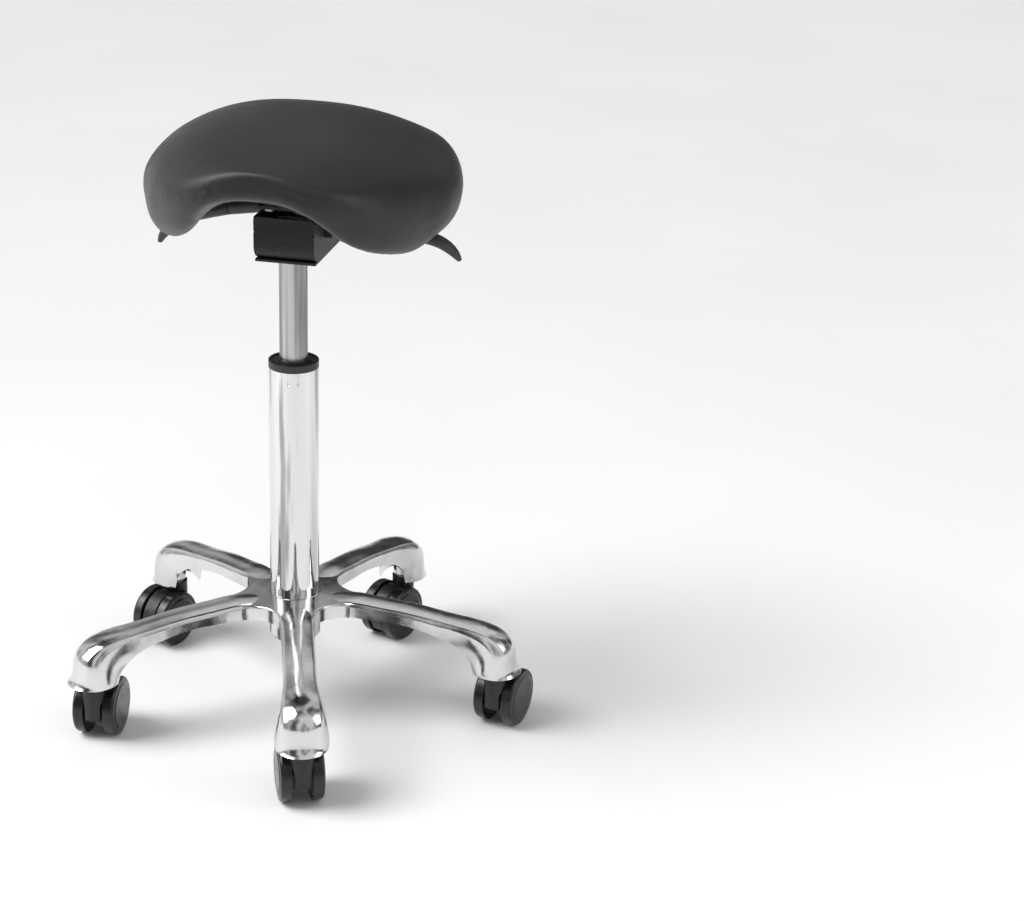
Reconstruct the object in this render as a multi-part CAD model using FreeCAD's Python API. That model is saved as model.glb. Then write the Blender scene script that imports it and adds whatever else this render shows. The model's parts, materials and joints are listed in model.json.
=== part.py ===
import FreeCAD, Part
import math
import os

V = FreeCAD.Vector
os.makedirs("parts", exist_ok=True)

# Saddle stool in millimetres. The origin is on the floor on the column's axis, +Z is up, and
# the front of the saddle looks along -Y. All pieces are drawn where they sit at rest.

# Five-arm base
arm_count = 5
first_arm_angle = 18.0      # turned from straight ahead, seen from above
castor_circle_r = 213.5     # column axis to castor stem
hood_rim_z = 66.5           # lower rim of the hood over each castor
hood_rim_r = 26.0
arm_width = 32.5
arm_crown = 3.0             # how far the arm's rounded top rises above its edges
arm_wall_h = 17.5           # from the arm's top to the lower edge of its side walls
arm_skin = 4.0              # thickness of the casting
shoulder_r = 3.5
knee_depth = 27.5           # from the point the knee bends about to the hood's near side
# The knee's bend: angle above level, then the near and far edges' distances from that point
knee_bends = (
    (90.0, 35.0, 54.3),
    (70.0, 32.4, 54.6),
    (50.0, 31.0, 62.0),
    (36.0, 29.5, 71.0),
    (22.0, 28.4, 76.0),
)
arm_level_r = 35.0          # the arms' tops are level out to here
web_fillet_r = 31.0         # hollow corner between two arms
web_edge_r = 2.0            # rounding of the web's upper edge
socket_wall = 4.0           # round each castor's bush
socket_roof = 3.5           # casting below the bush's lower end
hub_r = 26.0
hub_bottom_z = 85.5
hub_top_z = 131.5

# Column tube
tube_r = 25.0
tube_wall = 3.0
tube_top_z = 375.5
tube_bottom_z = 82.0
tube_taper_deg = 1.4        # self-holding taper inside the hub
tube_floor = 3.0
collar_h = 7.0
sleeve_l = 75.0
crimp_r = 2.2
crimp_drop = 11.0           # below the tube's upper end
crimp_angles = (4.0, 27.0)  # each side of where the front arm points
collar_slots = 12
collar_slot_r = 1.3
collar_slot_depth = 3.6
collar_lip = 1.4

# Gas spring
spring_r = 14.0
spring_wall = 2.0
rod_r = 5.0
rod_end_r = 4.0
rod_top_z = 330.0
piston_h = 12.0
gland_h = 12.0
spring_l = 317.0            # length of the gas spring's cylinder
taper_l = 23.5
taper_deg = 1.43
button_r = 3.0
button_rise = 5.5
button_l = 26.0
buffer_h = 20.0
bearing_h = 7.0
bearing_w = 10.0            # from the rod's end out to the bearing's rim
ball_count = 12
ball_r = 1.5
clip_t = 1.5
clip_drop = 3.0             # from the tube's floor down to the clip
rod_tail = 6.0
valve_l = 18.0              # solid head of the cylinder round its push button
run = 0.05                  # running clearance on a radius
gap = 0.3                   # clearance between faces that pass each other

# Tilt mechanism
box_bottom_z = 491.0
box_h = 43.0
box_half_w = 30.0
box_front_y = -32.0
box_l = 144.0
box_drop = 18.0             # how much lower the box is at its rear end
box_nose_r = 15.0
sheet = 2.5
socket_r = 18.0
socket_l = 17.0
pivot_y = 32.0
pivot_z = 517.0
pivot_r = 4.0
bracket_z = 541.0           # underside of the bracket's top plate
bracket_sheet = 3.0
bracket_l = 136.0
bracket_front_y = -28.0
flange_l = 70.0
flange_front_y = 22.0
clamp_y = 78.0
clamp_r = 4.0
tilt_fore_deg = 6.0
tilt_back_deg = 8.0
seat_bolt_r = 3.0
seat_bolt_x = 17.0
seat_bolt_rows = (-18.0, 94.0)
seat_bolt_grip = 16.0       # length of the bolts in the seat shell's bosses
bolt_head_h = 3.2
boss_r = 9.0
nut_r = 7.5                 # over the corners
nut_h = 6.5
washer_t = 1.6
eye_r = 5.0                 # flat eye of the clamp bolt that the tilt lever's pin goes through
eye_t = 5.0
slot_spare_deg = 1.5        # of the clamp slot past each end of the tilt
flange_drop = 13.5          # from the pivot down to the flanges' lower edges

# Levers
lever_y = 15.0
lever_z = 515.0
lever_pin_x = 33.5
lever_pin_r = 1.5
lever_rod_r = 4.0
grip_r = 7.8
grip_start = 41.0
grip_sleeve_l = 40.0
grip_hold = 30.0            # how far the lever's rod reaches into its grip
boss_w = 16.0               # bearing block of the height lever
boss_t = 7.0
grip_reach = 161.0          # from the column's axis to the tip of the height grip, along the lever
lever_sweep_deg = 14.0      # how far the lever is bent back outside the box
tilt_grip_droop_deg = 9.0
cam_x = 40.0
cam_r = 8.0
cam_w = 16.0
pin_r = 2.5

# Saddle
seat_front_y = -145.5
seat_wide_y = 26.0
seat_rear_y = 165.0
seat_half_w = 155.7
seat_front_half_w = 41.7
front_fullness = 1.64
rear_fullness = 1.97
crest_front_z = 601.0
crest_mid_z = 633.5
crest_rear_z = 583.5
droop_front = 0.0060        # how fast the sides fall away from the crest, at the front
droop_rear = 0.0006
droop_fade = 1.16
droop_power = 2.6
edge_front = 10.5           # half thickness of the cushion's rolled edge
edge_mid = 37.5
front_roll = 23.0
rear_roll = 104.0
underside_depth = 24.0      # from the cushion's middle surface down to its underside
cover_t = 1.6
pan_t = 8.0
pan_inset = 16.0
pan_proud = 2.0

# Castors
wheel_r = 30.0
wheel_w = 12.5
fork_w = 16.0               # width of the castor's body between its wheels
wheel_gap = 2.0
castor_trail = 20.0
axle_r = 4.0
stem_r = 5.5
stem_top_z = 98.0
barrel_r = 12.0
barrel_top_z = 65.5
bush_wall = 1.5
bush_lift = 2.0             # of the bush's ends above the barrel and above the stem
stem_seat = 17.0            # how deep the stem sits in the castor's body
# Heading of each castor's trail at rest, in degrees from straight ahead, by arm
castor_headings = (203.7, 166.4, 335.5, 338.4, 182.4)


def save(node, shape):
    shape.exportStep("parts/" + node + ".step")


def cyl(r, z0, z1, x=0.0, y=0.0):
    return Part.makeCylinder(r, z1 - z0, V(x, y, z0), V(0, 0, 1))


def rod_x(r, x0, x1, y, z):
    return Part.makeCylinder(r, x1 - x0, V(x0, y, z), V(1, 0, 0))


def rod_y(r, y0, y1, x, z):
    return Part.makeCylinder(r, y1 - y0, V(x, y0, z), V(0, 1, 0))


def ring(r_in, r_out, z0, z1):
    return cyl(r_out, z0, z1).cut(cyl(r_in, z0, z1))


def block(x0, x1, y0, y1, z0, z1):
    return Part.makeBox(x1 - x0, y1 - y0, z1 - z0, V(x0, y0, z0))


def group(shapes):
    return Part.makeCompound(shapes)


def direction(angle_deg):
    a = math.radians(angle_deg)
    return V(math.sin(a), -math.cos(a), 0)


def arm_angle(i):
    return first_arm_angle + i * 360.0 / arm_count


# Star base


def knee_rho():
    """Distance from the column's axis to the point about which an arm bends into its hood."""
    return castor_circle_r - hood_rim_r - knee_depth


def arm_crown_z(rho):
    """Height of the arm's top along its middle, which falls faster towards the knee."""
    s = max(0.0, rho - arm_level_r) / (knee_rho() - arm_level_r)
    return hub_top_z - (hub_top_z - hood_rim_z - knee_bends[0][2]) * s ** 2.3


def arm_foot_z(rho):
    """Height of the lower edge of the arm's side walls."""
    level = 0.62 * knee_rho()
    s = max(0.0, rho - level) / (knee_rho() - level)
    fall = hub_top_z - arm_wall_h
    return fall - (fall - hood_rim_z - knee_bends[0][1]) * s ** 1.7


def arm_wire(origin, up, half_w, low, high, roundness, mouth):
    """Closed outline across an arm: square-shouldered along the arm, round at the hood."""
    c = arm_crown
    r = shoulder_r
    edge = high - c
    square = [
        (half_w, low - mouth),
        (half_w, 0.5 * (low + edge)),
        (half_w, edge - r),
        (half_w - 0.3 * r, edge - 0.2 * r),
        (half_w - r, edge + 0.4 * c),
        (0.0, high),
    ]
    mid = 0.5 * (low + high)
    points = []
    for (v, h), turn in zip(square, (34.0, 65.0, 98.0, 116.0, 134.0, 180.0)):
        t = math.radians(turn)
        round_v = half_w * math.sin(t)
        round_h = mid - half_w * math.cos(t) - (mouth if turn < 40.0 else 0.0)
        points.append((v + (round_v - v) * roundness, h + (round_h - h) * roundness))
    right = [origin + V(0, v, 0) + up * h for v, h in points]
    left = [origin + V(0, -v, 0) + up * h for v, h in points]
    edges = [
        Part.LineSegment(left[0], right[0]),
        curve(right[0], right[1], right[2]),
        curve(right[2], right[3], right[4]),
        Part.Arc(right[4], right[5], left[4]),
        curve(left[4], left[3], left[2]),
        curve(left[2], left[1], left[0]),
    ]
    return Part.Wire([e.toShape() for e in edges])


def curve(a, b, c):
    """Arc through three points, or a straight line when they lie in one."""
    if (b - a).cross(c - a).Length < 1e-6:
        return Part.LineSegment(a, c)
    return Part.Arc(a, b, c)


def arm_form(inset):
    """One arm and its hood along +X; with an inset, the channel that hollows them from below."""
    mouth = 9.0 if inset else 0.0
    wires = []
    start = hub_r + (inset if inset else -1.5)
    for s in (0.0, 0.22, 0.45, 0.66, 0.84):
        rho = start + s * (knee_rho() - start)
        low = arm_foot_z(rho)
        high = arm_crown_z(rho) - inset
        wires.append(arm_wire(V(rho, 0, 0), V(0, 0, 1), 0.5 * arm_width - inset, low, high, 0.0, mouth))
    pivot = V(knee_rho(), 0, hood_rim_z)
    bends = knee_bends + ((0.0, knee_depth, knee_depth + 2 * hood_rim_r),)
    if inset:
        bends = bends + ((-7.0, knee_depth, knee_depth + 2 * hood_rim_r),)
    for angle, low, high in bends:
        t = math.radians(angle)
        swell = abs(math.cos(max(0.0, t))) ** 2.4
        half_w = 0.5 * arm_width + (hood_rim_r - 0.5 * arm_width) * swell
        up = V(math.cos(t), 0, math.sin(t))
        low_in = low + inset * swell
        wires.append(arm_wire(pivot, up, half_w - inset, low_in, high - inset, swell, mouth))
    return Part.makeLoft(wires, True, False)


def web():
    """Solid web that joins the arms round the hub, with a hollow corner between each two."""
    reach = (0.5 * arm_width + web_fillet_r) / math.sin(math.pi / arm_count)
    radius = reach * math.cos(math.pi / arm_count)
    low = hub_top_z - arm_wall_h
    edge = arm_crown_z(radius) - arm_crown
    body = cyl(radius, low, edge)
    body = body.fuse(Part.makeCone(radius, hub_r, hub_top_z - edge - gap, V(0, 0, edge), V(0, 0, 1)))
    for i in range(arm_count):
        p = direction(arm_angle(i) + 180.0 / arm_count) * reach
        body = body.cut(cyl(web_fillet_r, low - 1, hub_top_z + 1, p.x, p.y))
    hollow = reach - web_fillet_r
    upper = []
    for e in body.Edges:
        box = e.BoundBox
        middle = e.valueAt(0.5 * (e.FirstParameter + e.LastParameter))
        if box.ZMin > low + 1 and math.hypot(middle.x, middle.y) < hollow + 0.5 and middle.z < hub_top_z - 1:
            upper.append(e)
    return body.makeFillet(web_edge_r, upper)


def star_base():
    arm = arm_form(0.0)
    channel = arm_form(arm_skin)
    bush_r = stem_r + run + bush_wall
    out = V(castor_circle_r, 0, 0)
    boss = cyl(bush_r + socket_wall, barrel_top_z + socket_roof, hood_rim_z + 50.0)
    bore = cyl(bush_r, barrel_top_z + bush_lift, stem_top_z + bush_lift)
    boss.translate(out)
    bore.translate(out)
    boss = boss.common(arm)
    hub = cyl(hub_r, hub_bottom_z, hub_top_z)
    neck = Part.makeCone(hub_r + 5.0, hub_r, 2.5, V(0, 0, hub_top_z - 2.5), V(0, 0, 1))
    turns = [arm_angle(i) - 90.0 for i in range(arm_count)]
    body = web().fuse([turned_z(arm, t) for t in turns] + [hub, neck])
    body = body.cut([turned_z(channel, t) for t in turns])
    body = body.fuse([turned_z(boss, t) for t in turns])
    return body.cut([turned_z(bore, t) for t in turns] + [tube_plug()])


def turned_z(shape, angle_deg):
    s = shape.copy()
    s.rotate(V(0, 0, 0), V(0, 0, 1), angle_deg)
    return s


def tube_plug():
    """The tapered foot of the column as a solid plug that reaches the hub's top face."""
    foot_r = tube_r - 0.1 - (hub_top_z - tube_bottom_z) * math.tan(math.radians(tube_taper_deg))
    return Part.makeCone(foot_r, tube_r - 0.1, hub_top_z - tube_bottom_z, V(0, 0, tube_bottom_z), V(0, 0, 1))


# Column


def column_tube():
    shaft = cyl(tube_r, hub_top_z, tube_top_z)
    body = shaft.fuse(tube_plug())
    body = body.cut(cyl(tube_r - tube_wall, tube_bottom_z + tube_floor, tube_top_z))
    body = body.cut(cyl(rod_end_r + run, tube_bottom_z, tube_bottom_z + tube_floor))
    # two crimp dimples near the top
    for a in crimp_angles:
        p = direction(a) * (tube_r + 0.55 * crimp_r)
        body = body.cut(Part.makeSphere(crimp_r, V(p.x, p.y, tube_top_z - crimp_drop)))
    return body


def guide_sleeve():
    return ring(spring_r + run, tube_r - tube_wall, tube_top_z - sleeve_l, tube_top_z)


def column_collar():
    top = tube_top_z + collar_h
    body = ring(spring_r + run, tube_r, tube_top_z, top)
    step = ring(tube_r - 6.5, tube_r - 2.0, top - 1.2, top)
    body = body.cut(step)
    for i in range(collar_slots):
        p = direction(i * 360.0 / collar_slots) * (tube_r - 4.2)
        body = body.cut(cyl(collar_slot_r, top - collar_slot_depth, top, p.x, p.y))
    rim = body.fuse(ring(spring_r + run, spring_r + 2.2, top, top + collar_lip))
    return rim.removeSplitter()


# Gas spring


def rod_shoulder_z():
    return tube_bottom_z + tube_floor + bearing_h


def piston_rod():
    shoulder = rod_shoulder_z()
    foot = tube_bottom_z - rod_tail
    body = cyl(rod_r, shoulder, rod_top_z).fuse(cyl(rod_end_r, foot, shoulder))
    low = tube_bottom_z - clip_drop
    groove = ring(rod_end_r - 0.8, rod_end_r, low, low + clip_t)
    return body.cut(groove)


def retaining_clip():
    low = tube_bottom_z - clip_drop
    clip = ring(rod_end_r - 0.8, rod_end_r + 4.0, low, low + clip_t)
    mouth = block(-2.2, 2.2, 0.0, rod_end_r + 5.0, low, low + clip_t)
    return clip.cut(mouth)


def thrust_bearing():
    low = tube_bottom_z + tube_floor
    inner = rod_end_r + 0.2
    outer = rod_end_r + bearing_w
    washer = 0.5 * (bearing_h - 2 * ball_r) - 0.05
    pieces = [ring(inner, outer, low, low + washer)]
    pieces.append(ring(inner, outer, low + washer + 2 * ball_r, low + 2 * washer + 2 * ball_r))
    for i in range(ball_count):
        p = direction(i * 360.0 / ball_count) * (0.5 * (inner + outer))
        pieces.append(Part.makeSphere(ball_r, V(p.x, p.y, low + washer + ball_r)))
    return group(pieces)


def buffer_ring():
    low = rod_shoulder_z() + 0.2
    return ring(rod_r, tube_r - tube_wall - 8.0, low, low + buffer_h)


def piston():
    return ring(rod_r, spring_r - spring_wall - run, rod_top_z - piston_h, rod_top_z)


def spring_top_z():
    return box_bottom_z - sheet + taper_l


def gas_cylinder():
    top = spring_top_z()
    low = top - spring_l
    end_r = spring_r - taper_l * math.tan(math.radians(taper_deg))
    body = cyl(spring_r, low, top - taper_l)
    body = body.fuse(Part.makeCone(spring_r, end_r, taper_l, V(0, 0, top - taper_l), V(0, 0, 1)))
    body = body.cut(cyl(spring_r - spring_wall, low, top - taper_l - valve_l))
    return body.cut(cyl(button_r + run, top - taper_l - valve_l, top))


def cylinder_gland():
    low = spring_top_z() - spring_l
    return ring(rod_r + run, spring_r - spring_wall, low, low + gland_h)


def release_button():
    top = spring_top_z() + button_rise
    return cyl(button_r, top - button_l, top - 0.6).fuse(cyl(button_r - 0.6, top - 0.6, top))


# Tilt mechanism


def box_profile(inset):
    """Side outline of the box, as a face in the plane x = 0."""
    front = box_front_y + inset
    rear = box_front_y + box_l - inset
    low = box_bottom_z + inset
    high = box_bottom_z + box_h + (inset > 0) * 5.0
    r = box_nose_r - inset
    level_y = 0.36 * box_l + box_front_y
    rear_top = high - box_drop
    c = V(0, front + r, low + r)
    edges = [
        Part.LineSegment(V(0, front, high), V(0, front, low + r)),
        Part.Arc(V(0, front, low + r), c + V(0, -r, -r) * math.sqrt(0.5), V(0, front + r, low)),
        Part.LineSegment(V(0, front + r, low), V(0, rear, low)),
        Part.LineSegment(V(0, rear, low), V(0, rear, rear_top)),
        Part.LineSegment(V(0, rear, rear_top), V(0, level_y, high)),
        Part.LineSegment(V(0, level_y, high), V(0, front, high)),
    ]
    return Part.Face(Part.Wire([e.toShape() for e in edges]))


def extruded_x(face, half_w):
    solid = face.extrude(V(2 * half_w, 0, 0))
    solid.translate(V(-half_w, 0, 0))
    return solid


def mechanism_housing():
    shell = extruded_x(box_profile(0.0), box_half_w)
    shell = shell.cut(extruded_x(box_profile(sheet), box_half_w - sheet))
    shell = shell.cut(cyl(socket_r, box_bottom_z - 1.0, box_bottom_z + sheet + 1.0))
    shell = shell.cut(rod_x(pivot_r, -box_half_w - 1, box_half_w + 1, pivot_y, pivot_z))
    shell = shell.cut(rod_x(clamp_r, -box_half_w - 1, box_half_w + 1, clamp_y, pivot_z))
    shell = shell.cut(rod_x(lever_rod_r + 1.5, 0.0, box_half_w + 1, lever_y, lever_z))
    # notches where the folded corners of the sheet meet at the front
    for side in (-1, 1):
        for z in (box_bottom_z + 27.0, box_bottom_z + box_h - 2.0):
            x = side * box_half_w
            shell = shell.cut(block(x - 1.5, x + 1.5, box_front_y - 1, box_front_y + 1.2, z, z + 2.6))
    return shell


def bottom_plate():
    low = box_bottom_z - sheet
    plate = block(-box_half_w, box_half_w, box_front_y + 5.0, box_front_y + box_l, low, box_bottom_z)
    return plate.cut(cyl(spring_r, low - 1, box_bottom_z + 1))


def taper_socket():
    body = cyl(socket_r, box_bottom_z, box_bottom_z + socket_l)
    end_r = spring_r - taper_l * math.tan(math.radians(taper_deg))
    cone = Part.makeCone(spring_r, end_r, taper_l, V(0, 0, box_bottom_z - sheet), V(0, 0, 1))
    return body.cut(cone)


def pivot_pin():
    body = rod_x(pivot_r, -box_half_w - 1.0, box_half_w + 4.5, pivot_y, pivot_z)
    head = rod_x(pivot_r + 3.0, -box_half_w - 3.0, -box_half_w, pivot_y, pivot_z)
    return body.fuse(head)


def pivot_clip():
    x = box_half_w + 1.0
    clip = rod_x(pivot_r + 3.0, x, x + 1.2, pivot_y, pivot_z)
    return clip.cut(rod_x(pivot_r, x - 1, x + 3, pivot_y, pivot_z))


def flange_x():
    """Outer face of the bracket's side flanges, just inside the box walls."""
    return box_half_w - sheet - gap


def tilt_bushes():
    bushes = []
    out = flange_x()
    for side in (-1, 1):
        x0 = min(side * out, side * (out - bracket_sheet))
        bush = rod_x(pivot_r + 2.0, x0, x0 + bracket_sheet, pivot_y, pivot_z)
        bushes.append(bush.cut(rod_x(pivot_r + run, x0 - 1, x0 + bracket_sheet + 1, pivot_y, pivot_z)))
    return group(bushes)


def clamp_slot():
    """Arc-shaped slot about the pivot in which the clamp bolt sits, cut right across."""
    reach = clamp_y - pivot_y
    half = clamp_r + 0.5
    start = -tilt_fore_deg - slot_spare_deg
    end = tilt_back_deg + slot_spare_deg
    pts = []
    for r in (reach - half, reach + half):
        row = []
        for a in (start, 0.5 * (start + end), end):
            t = math.radians(a)
            row.append(V(0, pivot_y + r * math.cos(t), pivot_z + r * math.sin(t)))
        pts.append(row)
    edges = [
        Part.Arc(pts[0][0], pts[0][1], pts[0][2]),
        Part.LineSegment(pts[0][2], pts[1][2]),
        Part.Arc(pts[1][2], pts[1][1], pts[1][0]),
        Part.LineSegment(pts[1][0], pts[0][0]),
    ]
    slot = extruded_x(Part.Face(Part.Wire([e.toShape() for e in edges])), box_half_w)
    for a in (start, end):
        t = math.radians(a)
        y = pivot_y + reach * math.cos(t)
        z = pivot_z + reach * math.sin(t)
        slot = slot.fuse(rod_x(half, -box_half_w, box_half_w, y, z))
    return slot


def seat_bracket():
    out = flange_x()
    low = pivot_z - flange_drop
    top = bracket_z + bracket_sheet
    body = block(-out, out, bracket_front_y, bracket_front_y + bracket_l, bracket_z, top)
    for side in (-1, 1):
        x0 = min(side * out, side * (out - bracket_sheet))
        x1 = x0 + bracket_sheet
        flange = block(x0, x1, flange_front_y, flange_front_y + flange_l, low, bracket_z)
        body = body.fuse(flange)
    body = body.cut(rod_x(pivot_r + 2.0, -out - 1, out + 1, pivot_y, pivot_z))
    body = body.cut(clamp_slot())
    for x, y in seat_bolt_places():
        body = body.cut(cyl(seat_bolt_r + 0.4, bracket_z - 1, top + 1, x, y))
    return body


def seat_bolt_places():
    return [(s * seat_bolt_x, y) for y in seat_bolt_rows for s in (-1, 1)]


def seat_bolts():
    bolts = []
    for x, y in seat_bolt_places():
        shank = cyl(seat_bolt_r, bracket_z, bracket_z + bracket_sheet + seat_bolt_grip, x, y)
        head = cyl(seat_bolt_r + 2.3, bracket_z - bolt_head_h, bracket_z, x, y)
        bolts.append(shank.fuse(head))
    return group(bolts)


def clamp_bolt():
    """Bolt across the box with a flat eye on its left end for the tilt lever."""
    end = box_half_w + washer_t + nut_h + 2.9
    body = rod_x(clamp_r, -cam_x + cam_r + gap + 0.1, end, clamp_y, pivot_z)
    y0 = clamp_y - 0.5 * eye_t
    y1 = clamp_y + 0.5 * eye_t
    eye = rod_y(eye_r, y0, y1, -cam_x, pivot_z)
    neck = block(-cam_x, -cam_x + cam_r + 1.0, y0, y1, pivot_z - 3.0, pivot_z + 3.0)
    body = body.fuse([eye, neck])
    return body.cut(rod_y(pin_r, clamp_y - 5, clamp_y + 5, -cam_x, pivot_z))


def clamp_spacer():
    x = flange_x() - bracket_sheet - gap
    tube = rod_x(clamp_r + 3.0, -x, x, clamp_y, pivot_z)
    return tube.cut(rod_x(clamp_r, -x - 1, x + 1, clamp_y, pivot_z))


def clamp_washers():
    pieces = []
    for x0 in (-box_half_w - washer_t, box_half_w):
        w = rod_x(clamp_r + 4.5, x0, x0 + washer_t, clamp_y, pivot_z)
        pieces.append(w.cut(rod_x(clamp_r, x0 - 1, x0 + 3, clamp_y, pivot_z)))
    return group(pieces)


def clamp_nut():
    x0 = box_half_w + washer_t
    pts = []
    for i in range(6):
        a = math.radians(60.0 * i)
        pts.append(V(x0, clamp_y + nut_r * math.cos(a), pivot_z + nut_r * math.sin(a)))
    nut = Part.Face(Part.makePolygon(pts + [pts[0]])).extrude(V(nut_h, 0, 0))
    return nut.cut(rod_x(clamp_r, x0 - 1, x0 + 8, clamp_y, pivot_z))


def cam_pin():
    return rod_y(pin_r, clamp_y - 0.5 * cam_w, clamp_y + 0.5 * cam_w, -cam_x, pivot_z)


# Levers


def lever_boss():
    """Bearing block riveted on the right wall; the height lever rocks on a pin through it."""
    h = 0.5 * boss_w
    body = block(box_half_w, box_half_w + boss_t, lever_y - h, lever_y + h, lever_z - h, lever_z + h)
    body = body.makeFillet(2.0, [e for e in body.Edges if e.BoundBox.XLength > boss_t - 0.1])
    body = body.cut(rod_x(lever_rod_r + 1.2, box_half_w - 1, box_half_w + 9, lever_y, lever_z))
    return body.cut(rod_y(lever_pin_r, lever_y - 9, lever_y + 9, lever_pin_x, lever_z))


def lever_pin():
    return rod_y(lever_pin_r, lever_y - 0.5 * boss_w, lever_y + 0.5 * boss_w, lever_pin_x, lever_z)


def swept(shape):
    """Turns what is outside the box back about the lever's pivot."""
    s = shape.copy()
    s.rotate(V(lever_pin_x, lever_y, lever_z), V(0, 0, 1), lever_sweep_deg)
    return s


def height_lever():
    start = socket_r - 2.0
    inner = rod_x(lever_rod_r, start, lever_pin_x, lever_y, lever_z)
    outer = rod_x(lever_rod_r, lever_pin_x, grip_start + grip_hold, lever_y, lever_z)
    bend = Part.makeSphere(lever_rod_r, V(lever_pin_x, lever_y, lever_z))
    low = spring_top_z() + button_rise + gap
    tongue = block(-3.5, start + 6.0, -4.0, lever_y + lever_rod_r, low, low + 2.0)
    web = block(start, start + 6.0, lever_y - lever_rod_r, lever_y + lever_rod_r, lever_z, low + 2.0)
    body = inner.fuse([swept(outer), bend, tongue, web])
    return body.cut(rod_y(lever_pin_r + run, lever_y - 9, lever_y + 9, lever_pin_x, lever_z))


def grip_section(x, z, ry, rz, pitch_deg, y):
    e = Part.Ellipse(V(0, 0, 0), max(ry, rz), min(ry, rz))
    w = Part.Wire([e.toShape()])
    w.rotate(V(0, 0, 0), V(0, 0, 1), 90 if ry > rz else 0)
    w.rotate(V(0, 0, 0), V(0, 1, 0), 90)
    w.rotate(V(0, 0, 0), V(0, 1, 0), pitch_deg)
    w.translate(V(x, y, z))
    return w


def lever_grip():
    """Moulded grip: a round sleeve, a groove, then a flattened paddle that curls down to a tip."""
    y = lever_y
    z = lever_z
    end = grip_start + grip_sleeve_l
    sleeve = rod_x(grip_r, grip_start, end, y, z)
    groove = rod_x(grip_r + 1, end - 3.0, end - 1.6, y, z)
    groove = groove.cut(rod_x(grip_r - 0.8, grip_start, end, y, z))
    tip = grip_reach
    sections = [
        grip_section(end - 1.0, z, grip_r + 0.3, grip_r - 0.1, 0.0, y),
        grip_section(end + 14.0, z - 2.0, 11.0, 6.9, 5.0, y),
        grip_section(tip - 43.0, z - 5.5, 12.0, 6.3, 12.0, y),
        grip_section(tip - 27.5, z - 9.5, 11.5, 6.0, 22.0, y),
        grip_section(tip - 14.0, z - 16.6, 9.0, 5.6, 42.0, y),
        grip_section(tip - 4.5, z - 26.0, 5.0, 3.8, 56.0, y),
        grip_section(tip - 1.5, z - 30.5, 2.6, 2.2, 62.0, y),
    ]
    paddle = Part.makeLoft(sections, True, False)
    body = sleeve.cut(groove).fuse(paddle)
    return body.cut(rod_x(lever_rod_r, grip_start - 1, grip_start + grip_hold, y, z))


def tilt_parts():
    """The tilt lever's cam head with its short rod, and the grip on it, hanging a little low."""
    head = rod_y(cam_r, clamp_y - 0.5 * cam_w, clamp_y + 0.5 * cam_w, -cam_x, pivot_z)
    half = 0.5 * eye_t + gap
    head = head.cut(block(-cam_x - 20, -cam_x + 20, clamp_y - half, clamp_y + half, pivot_z - 20, pivot_z + 20))
    x0 = -cam_x - cam_r - 3.0
    back = block(x0, x0 + 5.2, clamp_y - 0.5 * cam_w, clamp_y + 0.5 * cam_w, pivot_z - 5.0, pivot_z + 5.0)
    rod_end = -cam_x - cam_r - grip_hold - 4.0
    stub = rod_x(lever_rod_r, rod_end, -cam_x - cam_r + 1.0, clamp_y, pivot_z)
    lever = head.fuse(back).fuse(stub)
    lever = lever.cut(rod_y(pin_r + run, clamp_y - 20, clamp_y + 20, -cam_x, pivot_z))
    grip = lever_grip()
    grip = grip.mirror(V(0, 0, 0), V(1, 0, 0))
    grip.translate(V(-cam_x - cam_r - 3.5 + grip_start, clamp_y - lever_y, pivot_z - lever_z))
    grip = grip.cut(stub)
    for s in (lever, grip):
        s.rotate(V(-cam_x, clamp_y, pivot_z), V(0, 1, 0), -tilt_grip_droop_deg)
    return lever, grip


# Saddle


def quarter_round(d, e):
    """Rises from 0 to 1 like a quarter of an ellipse over the distance e."""
    u = max(0.0, 1.0 - d / e)
    return math.sqrt(max(0.0, 1.0 - u * u))


def saddle_at(y):
    """Half width, middle surface height, droop and half thickness of the cushion at y."""
    length = seat_rear_y - seat_front_y
    t = (y - seat_front_y) / length
    full = edge_front + (edge_mid - edge_front) * math.sin(0.5 * math.pi * min(1.0, t / 0.45))
    h = full * quarter_round(y - seat_front_y, front_roll) * quarter_round(seat_rear_y - y, rear_roll)
    if y < seat_wide_y:
        u = (seat_wide_y - y) / (seat_wide_y - seat_front_y)
        swell = (1.0 - u ** front_fullness) ** (1.0 / front_fullness)
        w = seat_front_half_w + (seat_half_w - seat_front_half_w) * swell
    else:
        u = (y - seat_wide_y) / (seat_rear_y - seat_wide_y)
        w = seat_half_w * (1.0 - u ** rear_fullness) ** (1.0 / rear_fullness)
    ends = crest_front_z * (1 - t) * (1 - 2 * t) + crest_rear_z * t * (2 * t - 1)
    crest = ends + crest_mid_z * 4 * t * (1 - t)
    droop = droop_rear + (droop_front - droop_rear) * max(0.0, 1.0 - t) ** droop_fade
    return w - h, crest - full, droop, h


def saddle_point(x, y, z0, droop, off):
    """Point at a distance off above the middle surface, measured square to it, for x >= 0."""
    scale = 100.0 ** (2.0 - droop_power)
    z = z0 - droop * scale * x ** droop_power
    slope = -droop * scale * droop_power * x ** (droop_power - 1.0)
    n = math.hypot(1.0, slope)
    return V(x - off * slope / n, y, z + off / n)


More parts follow.
